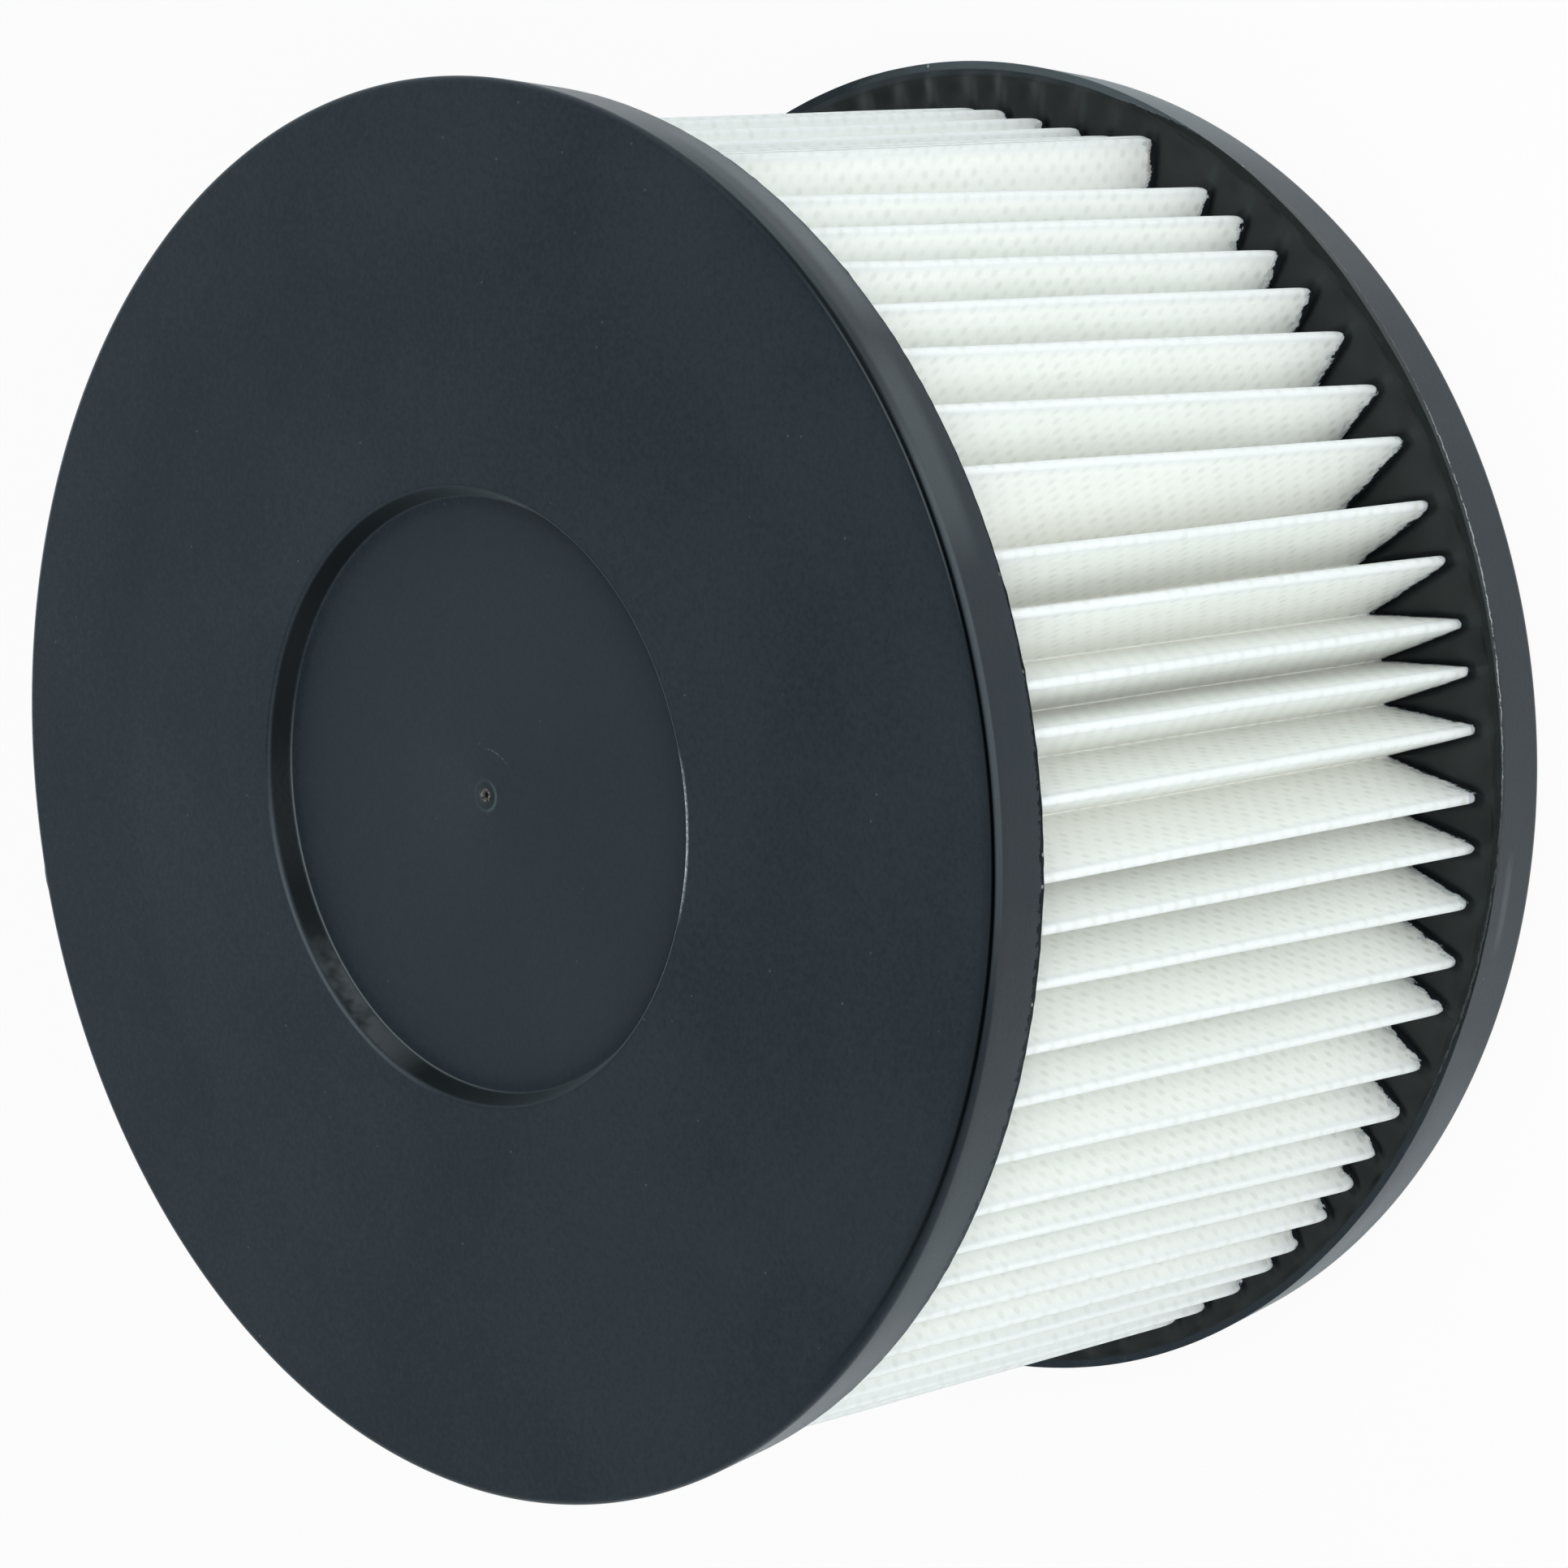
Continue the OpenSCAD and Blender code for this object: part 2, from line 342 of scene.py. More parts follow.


# Painted highlights and painted shade across the caps' edges, where light falls on them or misses them; on the ring,
# the narrow light mark at -106 degrees is a scuff. Each has its place across the edge and its reach in millimetres,
# the angle it is centred on and its half width in degrees, its strength and its colour.
PLATE_PAINTED_LIGHT = (
    (4.0, 7.5, -80, 58, 0.65, (0.0075, 0.0120, 0.0160)),
    (0.6, 2.6, -112, 38, 0.50, (0.0070, 0.0105, 0.0140)),
    (5.0, 3.4, -138, 26, 0.20, (0.0700, 0.0900, 0.0960)),
    (3.2, 3.4, -63, 11, 0.50, (0.0800, 0.0950, 0.1050)),
    (5.8, 2.6, -39, 15, 0.55, (0.1300, 0.1550, 0.1650)),
    (1.0, 0.7, -80, 28, 0.60, (0.0750, 0.0920, 0.1030)),
    (-0.45, 0.24, -62, 17, 0.55, (0.1300, 0.1500, 0.1600)),
)
RING_PAINTED_LIGHT_AND_SCUFF = (
    (4.0, 9.0, -82, 60, 0.50, (0.0100, 0.0150, 0.0190)),
    (4.0, 12.0, -14, 25, 0.60, (0.1300, 0.1600, 0.1720)),
    (6.0, 6.0, -138, 20, 0.35, (0.0900, 0.1120, 0.1230)),
    (2.8, 0.9, -106, 5.0, 0.30, (0.1200, 0.1400, 0.1500)),
)


def edge_light_and_scuffs(tree, base, across, around, marks):
    """Blends painted highlights, painted shade and scuffs into the colour. across is in metres and around in radians.
    """
    for place, reach, degrees, wide, strength, tint in marks:
        mark = product(tree, near_to(tree, across, place * MM, reach * MM), facing(tree, around, degrees, wide))
        base = blend(tree, maths(tree, "MULTIPLY", mark, strength), base, tint)
    return base


def plate_marks_and_light(s):
    """Marks of the closed plate: its gate, a scratch, a paler recess and a worn edge of the recess, with painted
    highlights and painted shade on the recess, the gate's ring and the plate's edge.
    """
    recess = s.recess_d / 2

    def marks(tree, where, base, rough):
        p = use(tree, polar(), Vector=where)
        radius, around, height = p["Radius"], p["Angle"], p["Height"]
        sunk = ramp(tree, height, (TOP_Z - 2) * MM, (TOP_Z - 2.6) * MM)
        pale = product(tree, sunk, ramp(tree, radius, recess - 0.002, recess - 0.0035), 0.5)
        base = blend(tree, pale, base, (0.033, 0.043, 0.053))
        fine = ragged_noise(tree, where, 2600.0, 0.42, 0.62)
        # The recess's edge is soft, and painted shade darkens it and takes its gloss, but for a worn spot, which is
        # painted light as wear and as a highlight.
        soft = product(tree, near_to(tree, radius, recess - 0.00005, 0.0006), facing(tree, around, -90, 120), 0.7)
        base = blend(tree, soft, base, (0.012, 0.017, 0.022))
        worn = product(tree, near_to(tree, radius, recess + 0.00005, 0.0006), facing(tree, around, -97, 17))
        worn = product(tree, worn, maths(tree, "ADD", maths(tree, "MULTIPLY", fine, 0.7), 0.3))
        base = blend(tree, worn, base, (0.66, 0.74, 0.76))
        # The recess's wall is painted dark as shade and is smooth, with a painted highlight line at its foot and torn
        # painted highlights on one side.
        wall = product(tree, ramp(tree, radius, recess - 0.0014, recess - 0.0012), ramp(tree, radius, recess - 0.0001, recess - 0.0003))
        base = blend(tree, wall, base, (0.004, 0.006, 0.007))
        rough = blend(tree, wall, rough, (0.3, 0.3, 0.3))
        foot_highlight = product(tree, near_to(tree, radius, recess - 0.00143, 0.00013), facing(tree, around, 125, 64))
        base = blend(tree, product(tree, foot_highlight, 0.6), base, (0.17, 0.20, 0.195))
        shine = product(tree, wall, facing(tree, around, 137, 22), ragged_noise(tree, where, 150.0, 0.3, 0.6), 0.5)
        base = blend(tree, shine, base, (0.105, 0.12, 0.13))
        # A painted highlight along the recess's outer edge, towards one side.
        brow_highlight = product(tree, near_to(tree, radius, recess + 0.00015, 0.0003), facing(tree, around, 125, 45))
        base = blend(tree, product(tree, brow_highlight, 0.8), base, (0.10, 0.12, 0.13))
        base = blend(tree, ramp(tree, radius, 0.0021, 0.0018, 0.0, 0.35), base, (0.013, 0.024, 0.024))
        # A painted highlight round the gate's raised ring, strongest on one side.
        rim = product(tree, near_to(tree, radius, 0.00195, 0.0003), maths(tree, "ADD", facing(tree, around, -110, 100), 0.35))
        base = blend(tree, product(tree, rim, 0.6), base, (0.075, 0.11, 0.11))
        torn = product(tree, near_to(tree, radius, 0.0007, 0.00035), fine)
        base = blend(tree, torn, base, (0.24, 0.21, 0.18))
        # Painted shade: the gate's pit is black and has no gloss.
        pit_shade = ramp(tree, radius, 0.0005, 0.00035)
        base = blend(tree, pit_shade, base, (0.001, 0.001, 0.001))
        scratch = product(tree, near_to(tree, radius, 0.006, 0.00014), facing(tree, around, -28, 26), fine)
        base = blend(tree, product(tree, scratch, 0.8), base, (0.15, 0.19, 0.19))
        # Across the edge: less than 0 on the face and more on the side. Painted highlights and painted shade lie
        # across it, and a painted dark line of shade runs slantwise over it.
        across = maths(tree, "ADD", maths(tree, "SUBTRACT", radius, height), (TOP_Z - EDGE_R) * MM)
        slant = maths(tree, "ADD", maths(tree, "MULTIPLY", around, 0.00100), 0.00110)
        across = maths(tree, "SUBTRACT", across, slant)
        base = edge_light_and_scuffs(tree, base, across, around, PLATE_PAINTED_LIGHT)
        line = product(tree, near_to(tree, across, 0.0, 0.00045), facing(tree, around, -90, 58))
        base = blend(tree, line, base, (0.001, 0.0015, 0.002))
        # A painted dark line of shade, torn along its edge, runs along the foot of the side, with light crumbs; both
        # are strongest on one side.
        side = ramp(tree, radius, (PLATE_R - 2.2) * MM, (PLATE_R - 1.8) * MM)
        torn_and_painted_side = maths(tree, "ADD", maths(tree, "MULTIPLY", facing(tree, around, -122, 54), 0.8), 0.2)
        lumps = ragged_noise(tree, where, 1200.0, 0.38, 0.62)
        tear = product(tree, maths(tree, "ADD", maths(tree, "MULTIPLY", lumps, 0.7), 0.3), torn_and_painted_side, 0.0011)
        foot_shade = ramp(tree, maths(tree, "SUBTRACT", height, tear), (SIDE_Z + 0.2) * MM, (SIDE_Z + 0.08) * MM)
        foot_shade = maths(tree, "MULTIPLY", foot_shade, side)
        base = blend(tree, foot_shade, base, (0.002, 0.002, 0.002))
        # Painted shade on the edge, towards one side.
        shade = product(tree, near_to(tree, across, 0.0008, 0.0016), facing(tree, around, -44, 22), 0.85)
        base = blend(tree, shade, base, (0.003, 0.004, 0.005))
        # Where the painted shade is dark and metallic, the plastic has no gloss.
        dull = maths(tree, "MAXIMUM", line, foot_shade)
        unworn = maths(tree, "MULTIPLY", soft, maths(tree, "SUBTRACT", 1.0, worn))
        walled = maths(tree, "MULTIPLY", maths(tree, "SUBTRACT", wall, shine), 0.3)
        for part in (shade, unworn, walled, pit_shade):
            dull = maths(tree, "MAXIMUM", dull, part)
        tree.links.new(dull, tree.nodes["Principled BSDF"].inputs["Metallic"])
        crumbs = use(tree, specks(), Vector=where, Density=800.0, Size=0.25, Share=0.12)["Mask"]
        near_foot = product(tree, side, ramp(tree, height, (SIDE_Z + 0.9) * MM, (SIDE_Z + 0.3) * MM), torn_and_painted_side)
        base = blend(tree, product(tree, near_foot, crumbs, 0.8), base, (0.42, 0.45, 0.42))
        return base, rough

    return marks


def ring_marks_and_light(tree, where, base, rough):
    """Marks of the open ring: compound spilt over its lip up to a torn light edge, with painted shade and a painted
    highlight along that edge, streaks on its side, a scuff, and painted highlights and painted shade across its outer
    edge.
    """
    p = use(tree, polar(), Vector=where)
    radius, around, height = p["Radius"], p["Angle"], p["Height"]
    turn = maths(tree, "MULTIPLY", around, 2.2)
    run = add(tree, "CombineXYZ", {0: turn, 1: maths(tree, "MULTIPLY", height, 900.0)}).outputs[0]
    lines = add(tree, "TexNoise", {"Vector": run, "Scale": 1.6, "Detail": 5.0, "Roughness": 0.7}).outputs[0]
    streaks = ramp(tree, lines, 0.58, 0.72)
    base = blend(tree, maths(tree, "MULTIPLY", streaks, 0.3), base, (0.10, 0.115, 0.125))
    rough = maths(tree, "ADD", rough, maths(tree, "MULTIPLY", streaks, 0.12))
    # Across the lip's outer edge: less than 0 on the lip and more on the side.
    # Painted highlights and painted shade lie across it, with a scuff.
    across = maths(tree, "ADD", maths(tree, "SUBTRACT", radius, height), (LIP_Z - RING_R) * MM)
    base = edge_light_and_scuffs(tree, base, across, around, RING_PAINTED_LIGHT_AND_SCUFF)
    # The compound has run over the lip, furthest towards one side, and ends in a torn edge.
    upper = ramp(tree, around, math.radians(-8), math.radians(-48), -0.0019, 0.0011)
    lower = ramp(tree, around, math.radians(-150), math.radians(-58), -0.0015, 0.0011)
    rag = maths(tree, "MULTIPLY", ragged_noise(tree, where, 900.0, 0.3, 0.7), 0.00025)
    past = maths(tree, "SUBTRACT", maths(tree, "ADD", across, rag), maths(tree, "MINIMUM", upper, lower))
    top = ramp(tree, height, (LIP_Z - 2.5) * MM, (LIP_Z - 2.0) * MM)
    base = blend(tree, product(tree, top, ramp(tree, past, 0.00005, -0.00005)), base, (0.0075, 0.0102, 0.0105))
    # Painted shade: a dark line along the compound's edge, strongest on one side.
    dark = product(tree, top, near_to(tree, past, 0.0003, 0.0004), facing(tree, around, -105, 26), 0.85)
    base = blend(tree, dark, base, (0.004, 0.005, 0.006))
    # The torn edge is light, partly the lip's own edge and partly a painted highlight, strongest on one side.
    broken = ragged_noise(tree, where, 750.0, 0.32, 0.52)
    torn_and_painted_side = maths(tree, "ADD", maths(tree, "MULTIPLY", facing(tree, around, -79, 20), 0.9), 0.15)
    base = blend(tree, product(tree, top, near_to(tree, past, 0.0, 0.00017), broken, torn_and_painted_side), base, (0.34, 0.38, 0.39))
    crumbs = use(tree, specks(), Vector=where, Density=500.0, Size=0.16, Share=0.12)["Mask"]
    base = blend(tree, product(tree, crumbs, top, 0.7), base, (0.45, 0.48, 0.48))
    return base, rough


def cast_compound(s):
    """Dark cast compound with a slightly uneven skin, painted shade beside the fabric and in the pockets by the wall,
    and painted highlights on the ridges' crests.
    """
    if "compound" in bpy.data.materials:
        return bpy.data.materials["compound"]
    material, tree, shader, where = new_material("compound")
    m = use(tree, mottle(), Vector=where, Patches=120.0, Grain=1500.0)
    contact_and_shade = add(tree, "Attribute", attribute_name="contact_and_shade").outputs["Fac"]
    dust = use(tree, specks(), Vector=where, Density=220.0, Size=0.06, Share=0.15)["Mask"]
    tone = maths(tree, "ADD", maths(tree, "MULTIPLY", m["Patches"], 0.4), 0.8)
    base = add(tree, "VectorMath", {0: tuple(s.dark), "Scale": tone}, operation="SCALE").outputs[0]
    base = blend(tree, maths(tree, "MULTIPLY", dust, 0.3), base, (0.25, 0.28, 0.28))
    # Painted shade where the compound meets the fabric and in the pockets by the wall.
    base = blend(tree, maths(tree, "MULTIPLY", contact_and_shade, 0.6), base, (0.001, 0.0015, 0.002))
    # Painted highlights on the ridges' crests.
    ridge = add(tree, "Attribute", attribute_name="ridge").outputs["Fac"]
    base = blend(tree, maths(tree, "MULTIPLY", ridge, 0.65), base, (0.034, 0.044, 0.050))
    # At one side the ring's bare plastic shows through where the compound thins towards the wall.
    p = use(tree, polar(), Vector=where)
    bare = product(tree, ramp(tree, p["Radius"], (RING_R - 2.0) * MM, (RING_R - 1.7) * MM), facing(tree, p["Angle"], 3, 30))
    base = blend(tree, product(tree, bare, ramp(tree, p["Height"], DOME_Z * MM, POT_Z * MM)), base, (0.030, 0.040, 0.049))
    tree.links.new(base, shader.inputs["Base Color"])
    rough = maths(tree, "ADD", maths(tree, "MULTIPLY", m["Patches"], 0.12), 0.42)
    tree.links.new(rough, shader.inputs["Roughness"])
    swell = bump(tree, m["Patches"], 0.00015, 0.6)
    tree.links.new(bump(tree, m["Grain"], 0.00003, 0.4, swell), shader.inputs["Normal"])
    shader.inputs["Specular IOR Level"].default_value = 0.35
    return material


def nonwoven(s):
    """Embossed off-white fabric with painted light, lighter in the valleys and darker and bluer on the tips, darker
    towards both ends, and with compound wicked up at both ends.
    """
    material, tree, shader, where = new_material("nonwoven")
    uv = add(tree, "UVMap", uv_map="fabric").outputs[0]
    u = add(tree, "SeparateXYZ", {0: uv}).outputs[0]
    z = add(tree, "SeparateXYZ", {0: where}).outputs[2]
    depth = add(tree, "Attribute", attribute_name="depth").outputs["Fac"]
    # A square grid turned by 45 degrees gives rows that are staggered by half a step.
    grid = math.sqrt(2)
    lay = add(
        tree, "Mapping",
        {"Vector": uv, "Rotation": (0, 0, math.radians(45)), "Scale": (grid / s.emboss_w, grid / s.emboss_h, 1)},
    )
    cells = add(
        tree, "TexVoronoi", {"Vector": lay.outputs[0], "Scale": 1.0, "Randomness": 0.16}, voronoi_dimensions="2D"
    ).outputs
    depthwise = maths(tree, "ADD", maths(tree, "MULTIPLY", add(tree, "SeparateColor", {0: cells["Color"]}).outputs[0], 0.7), 0.3)
    dot = maths(tree, "MULTIPLY", ramp(tree, cells["Distance"], 0.40, 0.08), depthwise)
    fibre = add(tree, "TexNoise", {"Vector": where, "Scale": 1500.0, "Detail": 2.0, "Roughness": 0.6}).outputs[0]
    cloud = add(tree, "TexNoise", {"Vector": uv, "Scale": 60.0, "Detail": 3.0}).outputs[0]
    # Painted light: the valleys are lighter and the tips darker, standing in for light carried through the fabric.
    base = blend(tree, ramp(tree, depth, 0.1, 1.0), tuple(s.white), tuple(s.valley_fill_light))
    base = blend(tree, ramp(tree, depth, 0.09, 0.0), base, tuple(s.tip))
    foot = maths(tree, "MINIMUM", maths(tree, "SUBTRACT", z, POT_Z * MM), maths(tree, "SUBTRACT", DOME_Z * MM, z))
    # The fabric and its dots are darker towards both ends.
    toward_ends = ramp(tree, foot, 0.009, 0.0)
    base = blend(tree, maths(tree, "MULTIPLY", dot, maths(tree, "ADD", maths(tree, "MULTIPLY", toward_ends, 0.35), 0.28)), base, (0.60, 0.63, 0.56))
    base = blend(tree, maths(tree, "MULTIPLY", toward_ends, 0.08), base, (0.42, 0.46, 0.47))
    tone = maths(tree, "ADD", maths(tree, "MULTIPLY", cloud, 0.06), 0.94)
    tone = maths(tree, "ADD", tone, maths(tree, "MULTIPLY", fibre, 0.06))
    base = add(tree, "VectorMath", {0: base, "Scale": tone}, operation="SCALE").outputs[0]
    # Glue has stained the seam's foot.
    stain = maths(tree, "MULTIPLY", ramp(tree, u, 0.006, 0.0035), ramp(tree, foot, 0.0016, 0.0008))
    base = blend(tree, maths(tree, "MULTIPLY", stain, 0.75), base, (0.36, 0.25, 0.11))
    ragged = add(tree, "TexNoise", {"Vector": where, "Scale": 520.0, "Detail": 3.0, "Roughness": 0.7}).outputs[0]
    climb = maths(tree, "MULTIPLY", maths(tree, "SUBTRACT", ragged, 0.38), 0.0036)
    wicked = ramp(tree, maths(tree, "SUBTRACT", foot, climb), 0.0003, 0.0001)
    wet = ramp(tree, maths(tree, "SUBTRACT", foot, maths(tree, "MULTIPLY", climb, 1.7)), 0.0010, 0.0003)
    base = blend(tree, maths(tree, "MULTIPLY", wet, 0.5), base, (0.33, 0.39, 0.44))
    light = use(tree, specks(), Vector=where, Density=700.0, Size=0.22, Share=0.3)["Mask"]
    base = blend(tree, wicked, base, blend(tree, maths(tree, "MULTIPLY", light, 0.4), (0.012, 0.016, 0.020), (0.45, 0.48, 0.46)))
    tree.links.new(base, shader.inputs["Base Color"])
    rough = maths(tree, "SUBTRACT", 0.85, maths(tree, "MULTIPLY", wicked, 0.5))
    tree.links.new(rough, shader.inputs["Roughness"])
    pressed = bump(tree, dot, -0.00012, 0.5)
    tree.links.new(bump(tree, fibre, 0.00008, 0.4, pressed), shader.inputs["Normal"])
    shader.inputs["Specular IOR Level"].default_value = 0.25
    return material


def foam():
    """Closed-cell sealing foam."""
    material, tree, shader, where = new_material("foam")
    cells = add(tree, "TexVoronoi", {"Vector": where, "Scale": 2200.0}).outputs["Distance"]
    base = blend(tree, ramp(tree, cells, 0.2, 0.7), (0.010, 0.010, 0.011), (0.035, 0.035, 0.037))
    tree.links.new(base, shader.inputs["Base Color"])
    shader.inputs["Roughness"].default_value = 0.9
    tree.links.new(bump(tree, cells, 0.00012, 0.7), shader.inputs["Normal"])
    return material


def amber():
    """Set glue in the fabric's seam."""
    material, tree, shader, where = new_material("amber glue")
    m = use(tree, mottle(), Vector=where, Patches=500.0, Grain=2500.0)
    base = blend(tree, m["Patches"], (0.55, 0.50, 0.38), (0.72, 0.69, 0.58))
    tree.links.new(base, shader.inputs["Base Color"])
    shader.inputs["Roughness"].default_value = 0.45
    tree.links.new(bump(tree, m["Patches"], 0.0001, 0.6), shader.inputs["Normal"])
    return material


def turned(corners, steps=320, segments=4, guard=0.12):
    """Spins an outline of (radius, height, rounding) corners round the axis and rounds its edges.

    An outline that starts on the axis also ends there, and any other is closed.
    """
    bm = bmesh.new()
    closed = corners[0][0] > 0
    spots = [Vector((r, 0, z)) for r, z, _ in corners]
    outline = []
    for i, (spot, corner) in enumerate(zip(spots, corners)):
        ends = [spots[i - 1], None, spots[(i + 1) % len(spots)]]
        if not closed and i == 0:
            ends[0] = None
        if not closed and i == len(spots) - 1:
            ends[2] = None
        for side, end in enumerate(ends):
            if side == 1:
                outline.append(spot)
            elif end is not None and corner[2]:
                away = end - spot
                if away.length > 3 * (corner[2] + guard):
                    outline.append(spot + away.normalized() * (corner[2] + guard))
    verts = [bm.verts.new(p) for p in outline]
    pairs = list(zip(verts, verts[1:] + verts[:1]))
    for pair in pairs if closed else pairs[:-1]:
        bm.edges.new(pair)
    geometry = bm.verts[:] + bm.edges[:]
    bmesh.ops.spin(bm, geom=geometry, cent=(0, 0, 0), axis=(0, 0, 1), angle=TURN, steps=steps, use_merge=True)
    bmesh.ops.remove_doubles(bm, verts=bm.verts, dist=1e-4)
    bmesh.ops.recalc_face_normals(bm, faces=bm.faces)
    for r, z, rounding in corners:
        if rounding:
            bmesh.ops.bevel(
                bm, geom=ring_edges(bm, r, z), offset=rounding, affect="EDGES", segments=segments, profile=0.5,
                material=-1,
            )
    return bm


def on_ring(vert, r, z, reach=5e-3):
    return abs(math.hypot(vert.co.x, vert.co.y) - r) < reach and abs(vert.co.z - z) < reach


def ring_edges(bm, r, z):
    """The edges of the circle at that radius and height."""
    return [e for e in bm.edges if all(on_ring(v, r, z) for v in e.verts)]


def finished(name, bm, material, node, sharp=32):
    """Scales a piece to metres, shades it and puts it in the place of its CAD node."""
    bmesh.ops.scale(bm, vec=(MM, MM, MM), verts=bm.verts)
    for face in bm.faces:
        face.smooth = True
    mesh = bpy.data.meshes.new(name)
    bm.to_mesh(mesh)
    bm.free()
    mesh.set_sharp_from_angle(angle=math.radians(sharp))
    mesh.materials.append(material)
    piece = bpy.data.objects.new(name, mesh)
    bpy.context.scene.collection.objects.link(piece)
    if node:
        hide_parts(node)
    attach(piece, "root")
    return piece


def unit(a):
    return Vector((math.cos(a), math.sin(a)))


def near(a, b):
    """Angle a, turned by whole turns until it lies within half a turn of b."""
    return b + (a - b + math.pi) % TURN - math.pi


# Tenths of a degree that each pleat, counted clockwise from the seam, is turned from its even place at
# the ring, and that it leans further round by the time it reaches the plate. Later pleats have none.
TURNS = (0, -7, -4, -4, 2, -6, 1, -1, 0, 5, 4, -2, 2, 5, 7, 1, 3, 1, 1, 12, 10, 7, 15, 15, 15, 16, 14, 11, 8, 5, 3)
LEANS = (0, -22, -18, -21, -17, -20, -20, -14, 0, -2, -1, -4, -1, 1, -2, -7, -5, -3, -8, -8, -14, -15, -12, -9, -5, -4)


def tenths(values, k):
    """The k-th value of a list in tenths of a degree, in radians, or 0 past its end."""
    return math.radians(values[k] / 10) if k < len(values) else 0.0


class Folds:
    """The course of the fabric's middle, in millimetres. Angles run clockwise seen from above."""

    def __init__(self, s):
        self.s = s
        self.n = s.pleats
        self.fold = s.fold_r / MM
        self.bend = self.fold - s.fabric_t / 2 / MM

    def angle(self, k):
        s = self.s
        if k in (0, self.n):
            return s.seam_at + (TURN if k else 0)
        bunch = 1 - math.cos(3 * TURN * (k - 3.2) / self.n)
        stray = 0.6 * math.sin(math.radians(141 * k + 67)) - math.sin(math.radians(32 * k))
        even = s.seam_at + s.seam_open + k * (TURN - s.seam_open) / self.n
        return even + s.bunching * bunch + s.stray * stray + tenths(TURNS, k)

    def middle(self, k):
        return (self.angle(k) + self.angle(k + 1)) / 2

    def tip_radius(self, k):
        s = self.s
        shallow = s.uneven / 2 * (1 + math.cos(self.angle(k) - s.uneven_at))
        if k in (0, self.n):
            shallow -= s.seam_proud
        else:
            shallow += s.seam_dip * math.exp(-(((k - self.n + 2.5) / 1.1) ** 2))
        return (s.tip_r - shallow) / MM

    def tip(self, k):
        return (self.tip_radius(k) - self.fold) * unit(self.angle(k))

    def valley(self, k):
        return (self.s.valley_r / MM + self.fold) * unit(self.middle(k))

    def radius(self, k):
        """Radius of the fabric's middle at a tip; beside the seam's glue, its distance from the middle of that."""
        return (self.s.seam_t + self.s.fabric_t) / 2 / MM if k in (0, self.n) else self.bend

    def square(self, k, other, side):
        """Direction square to the flank between tip k and the valley beside it."""
        run = self.valley(other) - self.tip(k)
        turn = math.acos((self.radius(k) + self.bend) / run.length)
        return near(math.atan2(run.y, run.x) + side * turn, self.angle(k))

    def leaving(self, k):
        return self.square(k, k, -1)

    def arriving(self, k):
        return self.square(k, k - 1, 1)

    def course(self, tip_steps=6, valley_steps=4, flank_steps=3):
        """Points of the middle line with their depth, 0 on a tip and 1 in a valley, and their lean."""
        points = []

        def bend(centre, radius, a0, a1, steps, depth, lean):
            for i in range(steps + 1):
                points.append((centre + radius * unit(a0 + (a1 - a0) * i / steps), depth, lean))

        def flank(end, down, lean):
            start, _, first = points[-1]
            for i in range(1, flank_steps):
                t = i / flank_steps
                points.append((start.lerp(end, t), t if down else 1 - t, first + (lean - first) * t))

        for k in range(self.n):
            tip, valley = self.tip(k), self.valley(k)
            lean, after = tenths(LEANS, k), tenths(LEANS, k + 1)
            between = (lean + after) / 2
            if k:
                bend(tip, self.radius(k), self.arriving(k), self.leaving(k), tip_steps, 0.0, lean)
            else:
                points.append((self.edge(0, self.leaving(0)), 0.0, lean))
                points.append((tip + self.radius(0) * unit(self.leaving(0)), 0.0, lean))
            a0 = self.leaving(k) + math.pi
            a1 = near(self.arriving(k + 1) + math.pi, self.middle(k) + math.pi / 2)
            flank(valley + self.bend * unit(a0), True, between)
            bend(valley, self.bend, a0, a1, valley_steps, 1.0, between)
            flank(self.tip(k + 1) + self.radius(k + 1) * unit(self.arriving(k + 1)), False, after)
        points.append((self.tip(self.n) + self.radius(self.n) * unit(self.arriving(self.n)), 0.0, 0.0))
        points.append((self.edge(self.n, self.arriving(self.n)), 0.0, 0.0))
        return points

    def edge(self, k, a):
        """Where the fabric ends at the seam, its fold radius beyond the tip's centre."""
        return self.tip(k) + self.radius(k) * unit(a) + self.fold * unit(self.angle(k))

    def spots(self, leant):
        """Places on the middle line, half a millimetre apart, to look up the nearest one."""
        points = [Matrix.Rotation(lean * leant, 2) @ p for p, _, lean in self.course()]
        places = []
        for a, b in zip(points, points[1:]):
            parts = math.ceil((b - a).length / 0.5)
            places += [a.lerp(b, i / parts) for i in range(parts)]
        tree = kdtree.KDTree(len(places))
        for i, p in enumerate(places):
            tree.insert(p.to_3d(), i)
        tree.balance()
        return tree

    def tips(self, leant):
        """Angles of the tips seen from above, counted the usual way round, in rising order."""
        return sorted(-(self.angle(k) + tenths(LEANS, k) * leant) % TURN for k in range(self.n))


def ripple(tips, a):
    """1 at a pleat's tip and -1 halfway between two tips, for angle a."""
    a %= TURN
    after = next((t for t in tips if t >= a), tips[0] + TURN)
    before = max((t for t in tips if t < a), default=tips[-1] - TURN)
    return math.cos(TURN * (a - before) / (after - before))


